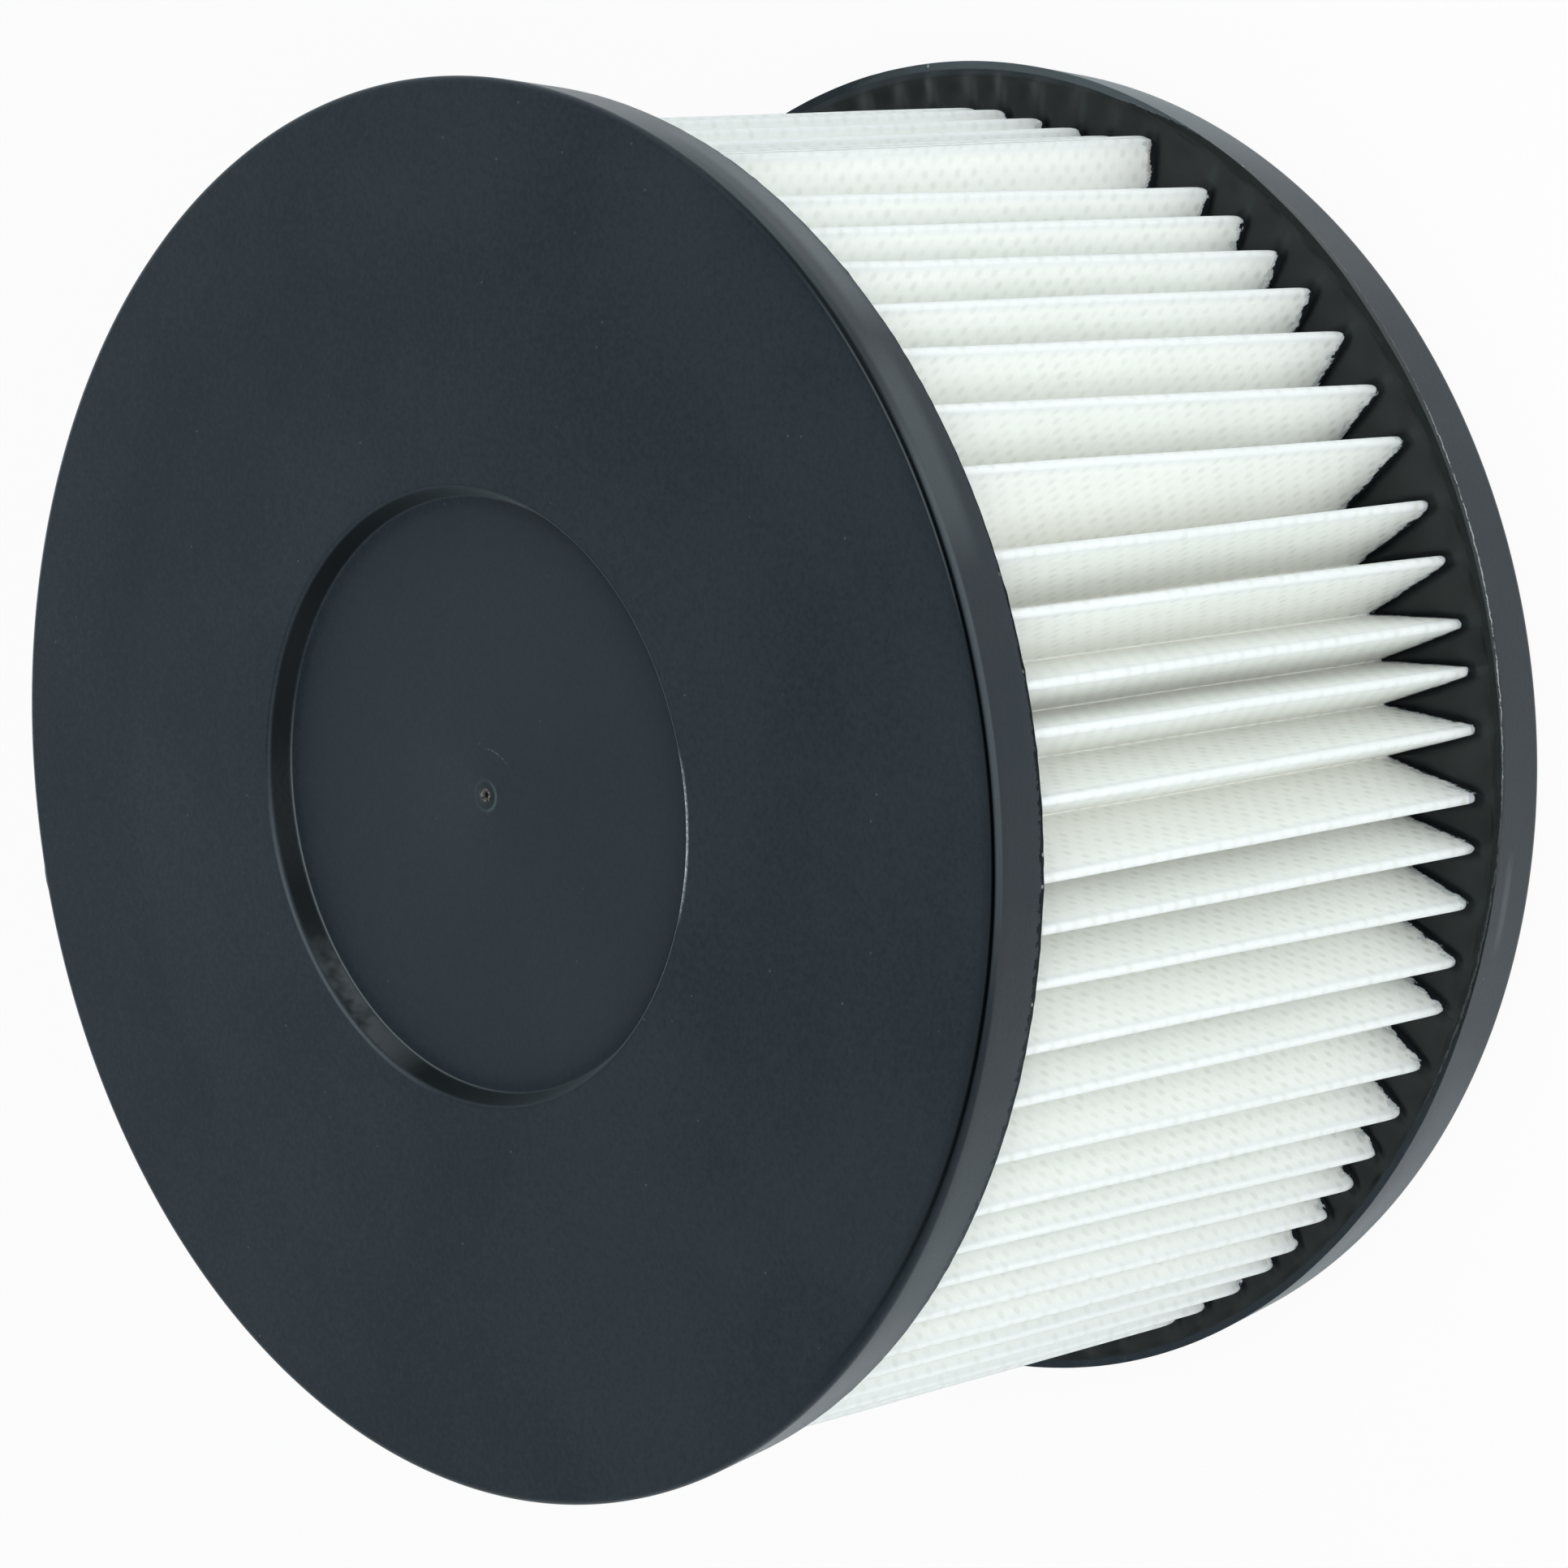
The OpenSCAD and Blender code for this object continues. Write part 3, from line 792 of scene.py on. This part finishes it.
class FILTER_OT_media(bpy.types.Operator):
    """Folds the fabric, gives it its thickness and glues its seam"""

    bl_idname = "filter.media"
    bl_label = "Pleated media"

    def execute(self, context):
        s = context.scene.filter_media
        folds = Folds(s)
        course = folds.course()
        ends = (-0.2, 0.5, 1.1, 2.0, 3.5)
        low = [MEDIA_Z0] + [POT_Z + d for d in ends]
        high = [DOME_Z - d for d in reversed(ends)] + [MEDIA_Z1]
        rows = 27
        levels = low + [low[-1] + (high[0] - low[-1]) * i / rows for i in range(1, rows)] + high
        bm = bmesh.new()
        depth = bm.verts.layers.float.new("depth")
        along = bm.verts.layers.float.new("along")
        leaning = bm.verts.layers.float.new("lean")
        verts, run = [], 0.0
        for i, (p, d, lean) in enumerate(course):
            run += (p - course[i - 1][0]).length if i else 0
            v = bm.verts.new((p.x, -p.y, MEDIA_Z0))
            v[depth], v[along], v[leaning] = d, run * MM, lean
            verts.append(v)
        edges = [bm.edges.new(pair) for pair in zip(verts, verts[1:])]
        for below, above in zip(levels, levels[1:]):
            grown = bmesh.ops.extrude_edge_only(bm, edges=edges)["geom"]
            edges = [e for e in grown if isinstance(e, bmesh.types.BMEdge)]
            bmesh.ops.translate(bm, vec=(0, 0, above - below), verts=[v for v in grown if isinstance(v, bmesh.types.BMVert)])
        sample = next(f for f in bm.faces if abs(f.calc_center_median().xy.length - folds.tip_radius(37)) < 1)
        if sample.normal.xy.dot(sample.calc_center_median().xy) < 0:
            bmesh.ops.reverse_faces(bm, faces=bm.faces)
        for v in bm.verts:
            t = (v.co.z - MEDIA_Z0) / (MEDIA_Z1 - MEDIA_Z0)
            sway = noise.noise_vector(Vector((v.co.x, v.co.y, v.co.z * 0.4)) * 0.09)
            v.co += Vector((sway.x, sway.y, 0)) * 0.12 * math.sin(math.pi * t)
            if v[depth] == 0:
                end = max(0.0, min(v.co.z - POT_Z, DOME_Z - v.co.z))
                v.co.xy -= v.co.xy.normalized() * s.pinch / MM * math.exp(-end / 0.8)
            rise = min(1.0, max(0.0, (v.co.z - POT_Z) / (DOME_Z - POT_Z)))
            v.co.rotate(Matrix.Rotation(-v[leaning] * rise, 3, "Z"))
        uv = bm.loops.layers.uv.new("fabric")
        for face in bm.faces:
            for loop in face.loops:
                loop[uv].uv = (loop.vert[along], loop.vert.co.z * MM)
        media = finished("folded_media", bm, nonwoven(s), "pleated_media", sharp=180)
        body = media.modifiers.new("thickness", "SOLIDIFY")
        body.thickness, body.offset = s.fabric_t, 0

        inner = folds.valley(0).lerp(folds.valley(folds.n - 1), 0.5).length + 2
        outer = folds.tip_radius(0) - 0.5
        half = s.seam_t / 2 / MM
        bm = bmesh.new()
        bmesh.ops.create_cube(bm, size=1)
        bmesh.ops.scale(bm, vec=(outer - inner, 2 * half, MEDIA_Z1 - MEDIA_Z0), verts=bm.verts)
        bmesh.ops.translate(bm, vec=((outer + inner) / 2, 0, (MEDIA_Z1 + MEDIA_Z0) / 2), verts=bm.verts)
        upright = [e for e in bm.edges if abs(e.verts[0].co.z - e.verts[1].co.z) > 1]
        bmesh.ops.bevel(bm, geom=upright, offset=half * 0.9, affect="EDGES", segments=3, profile=0.5, material=-1)
        bmesh.ops.rotate(bm, cent=(0, 0, 0), matrix=Matrix.Rotation(-s.seam_at, 3, "Z"), verts=bm.verts)
        finished("seam_glue", bm, amber(), None)
        return {"FINISHED"}


class FILTER_OT_end_plate(bpy.types.Operator):
    """Turns the closed plate, with its recess, mould mark and rounded rim"""

    bl_idname = "filter.end_plate"
    bl_label = "Closed end plate"

    def execute(self, context):
        s = context.scene.filter_caps
        floor = TOP_Z - s.recess_h / MM
        under = TOP_Z - WALL_T
        recess = s.recess_d / 2 / MM
        recess_in = recess - s.recess_draft / MM
        side = PLATE_R - s.plate_draft / MM
        inside = DOME_R + FIT
        sink_r = 68.6
        bm = turned([
            (0, floor - 0.6, 0),
            (0.45, floor - 0.55, 0),
            (0.6, floor + 0.14, 0.05),
            (0.9, floor + 0.04, 0),
            (1.9, floor + 0.03, 0),
            (2.15, floor, 0),
            (recess_in, floor, 0.15),
            (recess, TOP_Z, 0.3),
            (sink_r - 1.6, TOP_Z, 0),
            (sink_r, TOP_Z - 0.03, 0),
            (sink_r + 1.6, TOP_Z, 0),
            (EDGE_R, TOP_Z, 0.9),
            (side, SIDE_Z, 0.15),
            (inside, RIM_Z, 0.15),
            (inside, under, 0),
            (CORE_OUT, under, 0),
            (CORE_OUT, TOP_Z - CORE_H, 0.2),
            (CORE_OUT - CORE_T, TOP_Z - CORE_H, 0.2),
            (CORE_OUT - CORE_T, under, 0.4),
            (recess + WALL_T, under, 0.4),
            (recess_in + WALL_T, floor - WALL_T, 0.4),
            (0, floor - WALL_T, 0),
        ], steps=480)
        for v in bm.verts:
            if v.co.z < SIDE_Z + 0.2 and v.co.xy.length > side - 0.2:
                burr = noise.noise(v.co * 1.3) + 0.6 * noise.noise(v.co * 4.1)
                v.co.z -= 0.18 * max(0.0, burr)
            at = math.degrees(math.atan2(v.co.y, v.co.x))
            if v.co.z > TOP_Z - 1.5 and v.co.xy.length > PLATE_R - 0.5 and abs(at - 97.3) < 0.8:
                v.co.xy += v.co.xy.normalized() * 0.16
        finished("end_plate", bm, plastic("plate plastic", s, plate_marks_and_light(s)), "closed_end_plate")
        return {"FINISHED"}


class FILTER_OT_end_ring(bpy.types.Operator):
    """Turns the ring of the open end, with its trough, lip and gasket groove"""

    bl_idname = "filter.end_ring"
    bl_label = "Open end ring"

    def execute(self, context):
        s = context.scene.filter_caps
        bore = BORE_R
        foot = RING_Z + WALL_T
        lip_in = RING_R - s.lip_w / MM
        wall_in = lip_in - 1.4
        groove_in = CAGE_R + 0.4 + WALL_T
        groove_out = SEAL_R + 0.15
        bed = SEAL_Z + WALL_T
        step = groove_out + WALL_T
        bm = turned([
            (bore, RING_Z, 0.5),
            (groove_in, RING_Z, 0.1),
            (groove_in, SEAL_Z, 0),
            (groove_out, SEAL_Z, 0),
            (groove_out, RING_Z, 0.1),
            (RING_R - s.ring_draft / MM, RING_Z, 1.0),
            (RING_R, LIP_Z + 0.15, 0.12),
            (lip_in, LIP_Z, 0.05),
            (wall_in, foot, 0),
            (step, foot, 0),
            (step, bed, 0),
            (CAGE_R + 0.4, bed, 0),
            (CAGE_R + 0.4, foot, 0),
            (CORE_OUT, foot, 0),
            (CORE_OUT, RING_Z + CORE_H, 0.2),
            (CORE_OUT - CORE_T, RING_Z + CORE_H, 0.2),
            (CORE_OUT - CORE_T, RING_Z + COLLAR_H, 0.3),
            (bore, RING_Z + COLLAR_H, 0.3),
        ])
        for v in bm.verts:
            if v.co.z > LIP_Z - 0.1 and v.co.xy.length > lip_in + 0.5:
                v.co.z += 0.22 * noise.noise(v.co * 0.07) + 0.05 * noise.noise(v.co * 0.6) + 0.07 * noise.noise(v.co * 2.7)
        finished("end_ring", bm, plastic("ring plastic", s, ring_marks_and_light), "open_end_ring")
        return {"FINISHED"}


class FILTER_OT_compound(bpy.types.Operator):
    """Casts the compound in both troughs, with its ridges and its creep up the wall"""

    bl_idname = "filter.compound"
    bl_label = "Compound"

    def execute(self, context):
        s = context.scene.filter_compound
        folds = Folds(context.scene.filter_media)
        wall = RING_R - 1.1 - 1.4 * (LIP_Z - POT_Z) / (LIP_Z - RING_Z - WALL_T)
        step = SEAL_R + 0.15 + WALL_T + FIT
        inner = CAGE_R + FIT
        trough = [(step, POT_Z0 + 1.6), (step, POT_Z0), (wall - 1.27, POT_Z0)]
        self.cast("compound_open", "potting_open", s, folds, inner, wall, POT_Z, POT_Z0 + 1.6, 1, trough)
        self.cast("compound_closed", "potting_closed", s, folds, inner, DOME_R, DOME_Z, DOME_Z1, -1, [(DOME_R, DOME_Z1)])
        return {"FINISHED"}

    def cast(self, name, node, s, folds, inner, wall, level, back, up, trough):
        """up is 1 where the open surface faces up and -1 where it faces down."""
        inwards = (0, 0.2, 0.5, 0.9, 1.4, 2, 2.6, 3.2, 3.8, 4.5, 5.2, 6, 6.9, 7.9, 9, 10.3, 11.7, 13.2, 14.8, 16.4)
        corners = [(inner, back, 0)] + [(r, z, 0) for r, z in trough] + [(wall - d, level, 0) for d in inwards]
        corners.append((inner, level, 0))
        leant = 1.0 if up < 0 else 0.0
        tips = folds.tips(leant)
        bm = turned(corners, steps=14 * len(tips))
        contact_and_shade = bm.verts.layers.float.new("contact_and_shade")
        ridge = bm.verts.layers.float.new("ridge")
        cloth = folds.spots(leant)
        for v in bm.verts:
            if abs(v.co.z - level) < 1e-3:
                inward = wall - v.co.xy.length
                gap = cloth.find(Vector((v.co.x, -v.co.y, 0)))[2] - folds.s.fabric_t / 2 / MM
                # Beside the fabric the compound sinks, and there it is also painted dark as shade.
                v[contact_and_shade] = math.exp(-((max(gap, 0.0) / s.dip_w * MM) ** 2))
                rise = s.creep / MM * math.exp(-inward / 0.8)
                crest = ripple(tips, math.atan2(v.co.y, v.co.x))
                wave = crest * math.exp(-((inward - 1.6) / 2.6) ** 2)
                # The ridges' crests are painted light as highlights.
                v[ridge] = max(0.0, crest) ** 12 * math.exp(-(((inward - 3.2) / 2.2) ** 4))
                uneven = 0.12 * noise.noise(v.co * 0.12)
                if up > 0:
                    # The edge meets the ring's lip evenly.
                    calm = 1 - math.exp(-((inward / 0.4) ** 2))
                    wave, uneven = wave * calm, uneven * calm + (LIP_Z - level - s.creep / MM) * (1 - calm)
                v.co.z += up * (rise + s.ridge / MM * wave + uneven - s.dip / MM * v[contact_and_shade])
                if inward < 0.1 and up > 0:
                    v.co.xy += v.co.xy.normalized() * rise * 1.4 / (LIP_Z - RING_Z - WALL_T)
                # The pockets between the ridges near the wall are painted dark as shade too.
                pocket = max(0.0, -wave) * math.exp(-((inward - 2.2) / 1.0) ** 2)
                v[contact_and_shade] = min(1.0, v[contact_and_shade] + 0.6 * pocket)
        finished(name, bm, cast_compound(s), node, sharp=60)


class FILTER_OT_cage(bpy.types.Operator):
    """Makes the cage of bars and hoops behind the media"""

    bl_idname = "filter.cage"
    bl_label = "Support cage"

    def execute(self, context):
        bars, rows, per_bay = 24, 5, 6
        bar_w = 3.0
        span = RIM_Z - LIP_Z - bar_w
        levels = [CAGE_Z0]
        for row in range(rows):
            sill = LIP_Z + bar_w + row * span / rows
            levels += [sill, sill + span / rows - bar_w]
        levels.append(CAGE_Z1)
        middle = CAGE_R - CAGE_T / 2
        start = TURN / bars / 2 - TURN / bars / per_bay / 2
        bm = bmesh.new()
        verts = [bm.verts.new((middle * math.cos(start), middle * math.sin(start), z)) for z in levels]
        edges = [bm.edges.new(pair) for pair in zip(verts, verts[1:])]
        bmesh.ops.spin(
            bm, geom=verts + edges, cent=(0, 0, 0), axis=(0, 0, 1), angle=TURN, steps=bars * per_bay,
            use_merge=True,
        )
        windows = []
        for face in bm.faces:
            c = face.calc_center_median()
            column = round((math.atan2(c.y, c.x) - start) / TURN * bars * per_bay - 0.5) % per_bay
            level = sum(c.z > z for z in levels)
            if column and level % 2 == 0:
                windows.append(face)
        bmesh.ops.delete(bm, geom=windows, context="FACES")
        bmesh.ops.recalc_face_normals(bm, faces=bm.faces)
        s = context.scene.filter_caps
        cage = finished("cage_lattice", bm, plastic("slate plastic", s), "support_cage")
        wall = cage.modifiers.new("wall", "SOLIDIFY")
        wall.thickness, wall.offset = CAGE_T * MM, 0
        soft = cage.modifiers.new("soft edges", "BEVEL")
        soft.width, soft.segments, soft.limit_method = 0.3 * MM, 2, "ANGLE"
        return {"FINISHED"}


class FILTER_OT_gasket(bpy.types.Operator):
    """Turns the foam gasket that the cartridge stands on"""

    bl_idname = "filter.gasket"
    bl_label = "Gasket"

    def execute(self, context):
        inside = SEAL_R - 8
        bm = turned([
            (inside, FLOOR_Z, 0.7),
            (SEAL_R, FLOOR_Z, 0.7),
            (SEAL_R, SEAL_Z, 0),
            (inside, SEAL_Z, 0),
        ])
        finished("seal_foam", bm, foam(), "gasket")
        return {"FINISHED"}


CAMERA_AT = (0.051411, -0.504128, 0.547786)
CAMERA_AXES = (
    (-0.078891, 0.993784, 0.078545),
    (-0.705550, 0.000000, -0.708660),
    (-0.704256, -0.111324, 0.701164),
)
# Each lamp's name, place in metres, width in metres, power in watts and colour.
LAMPS = (
    ("front", (0.0, -1.25, 1.0), 1.2, 15.7, (1.0, 1.0, 1.0)),
    ("upper", (1.05, -0.80, 0.70), 1.1, 2.2, (1.0, 1.0, 1.0)),
    ("lower", (-1.05, -0.80, 0.70), 1.1, 2.2, (1.0, 1.0, 1.0)),
    ("back", (0.0, 1.3, 0.08), 0.4, 2.0, (0.8, 0.95, 1.0)),
)


class FILTER_OT_studio(bpy.types.Operator):
    """Makes the floor, the lamps, the world and the camera"""

    bl_idname = "filter.studio"
    bl_label = "Studio"

    def execute(self, context):
        scene = context.scene
        s = scene.filter_studio
        data = bpy.data.cameras.new("camera")
        data.lens, data.sensor_width = s.lens, 36
        data.clip_start, data.clip_end = 0.01, 20
        camera = bpy.data.objects.new("camera", data)
        scene.collection.objects.link(camera)
        camera.matrix_world = Matrix.Translation(CAMERA_AT) @ Matrix(CAMERA_AXES).to_4x4()
        scene.camera = camera
        self.floor(scene, s)
        self.world(scene, s)
        for name, place, size, power, tint in LAMPS:
            lamp = bpy.data.lights.new(name, "AREA")
            lamp.size, lamp.energy, lamp.color = size, power, tint
            holder = bpy.data.objects.new(name, lamp)
            holder.location = place
            holder.rotation_mode = "QUATERNION"
            holder.rotation_quaternion = (Vector((0, 0, 0.05)) - Vector(place)).to_track_quat("-Z", "Y")
            scene.collection.objects.link(holder)
        scene.view_settings.view_transform = "Standard"
        return {"FINISHED"}

    def floor(self, scene, s):
        """A pale floor that is near white to the camera and in gloss, and keeps the shadow."""
        bm = bmesh.new()
        bmesh.ops.create_grid(bm, x_segments=1, y_segments=1, size=4)
        mesh = bpy.data.meshes.new("floor")
        bm.to_mesh(mesh)
        bm.free()
        floor = bpy.data.objects.new("floor", mesh)
        scene.collection.objects.link(floor)
        material, tree, shader, _ = new_material("floor")
        mesh.materials.append(material)
        shader.inputs["Base Color"].default_value = (*s.floor, 1)
        shader.inputs["Roughness"].default_value = 0.95
        shader.inputs["Specular IOR Level"].default_value = 0
        path = add(tree, "LightPath").outputs
        seen = maths(tree, "MAXIMUM", path["Is Camera Ray"], maths(tree, "MAXIMUM", path["Is Glossy Ray"], path["Is Transmission Ray"]))
        white = add(tree, "Emission", {"Color": (1, 1, 1, 1), "Strength": 1.0})
        mixed = add(tree, "MixShader", {0: maths(tree, "MULTIPLY", seen, 0.93), 1: shader.outputs[0], 2: white.outputs[0]})
        tree.links.new(mixed.outputs[0], tree.nodes["Material Output"].inputs["Surface"])

    def world(self, scene, s):
        """White to the camera, and elsewhere bright at the horizon and dimmer overhead."""
        world = bpy.data.worlds.new("studio")
        scene.world = world
        world.use_nodes = True
        tree = world.node_tree
        light = tree.nodes["Background"]
        x, y, up = add(tree, "SeparateXYZ", {0: add(tree, "TexCoord").outputs["Generated"]}).outputs
        seen = add(tree, "LightPath").outputs["Is Camera Ray"]
        level = ramp(tree, up, 0.15, 0.85, 1.75, 0.4)
        level = product(tree, level, s.sky, ramp(tree, y, -0.95, -0.3, 0.4, 1.0), ramp(tree, x, 0.0, 0.9, 1.0, 1.35))
        strength = add(tree, "Mix", {0: seen, 2: level, 3: 1.0}).outputs[0]
        light.inputs["Color"].default_value = (0.94, 0.985, 1.0, 1)
        tree.links.new(strength, light.inputs["Strength"])


class FILTER_PT_panel(bpy.types.Panel):
    """Lists the pieces and their sizes"""

    bl_idname = "FILTER_PT_panel"
    bl_label = "Filter cartridge"
    bl_space_type = "VIEW_3D"
    bl_region_type = "UI"
    bl_category = "Filter"

    def draw(self, context):
        for operator in OPERATORS:
            self.layout.operator(operator.bl_idname)
        for name, group in GROUPS.items():
            settings = getattr(context.scene, name)
            box = self.layout.box()
            for key in group.__annotations__:
                box.prop(settings, key)


GROUPS = {
    "filter_media": FilterMedia,
    "filter_caps": FilterCaps,
    "filter_compound": FilterCompound,
    "filter_studio": FilterStudio,
}
OPERATORS = (
    FILTER_OT_end_plate,
    FILTER_OT_end_ring,
    FILTER_OT_media,
    FILTER_OT_compound,
    FILTER_OT_cage,
    FILTER_OT_gasket,
    FILTER_OT_studio,
)


def register():
    for cls in (*GROUPS.values(), *OPERATORS, FILTER_PT_panel):
        bpy.utils.register_class(cls)
    for name, group in GROUPS.items():
        setattr(bpy.types.Scene, name, bpy.props.PointerProperty(type=group))


def unregister():
    for name in GROUPS:
        delattr(bpy.types.Scene, name)
    for cls in reversed((*GROUPS.values(), *OPERATORS, FILTER_PT_panel)):
        bpy.utils.unregister_class(cls)


def main():
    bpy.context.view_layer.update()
    register()
    for operator in OPERATORS:
        group, name = operator.bl_idname.split(".")
        getattr(getattr(bpy.ops, group), name)()


if __name__ == "__main__":
    main()
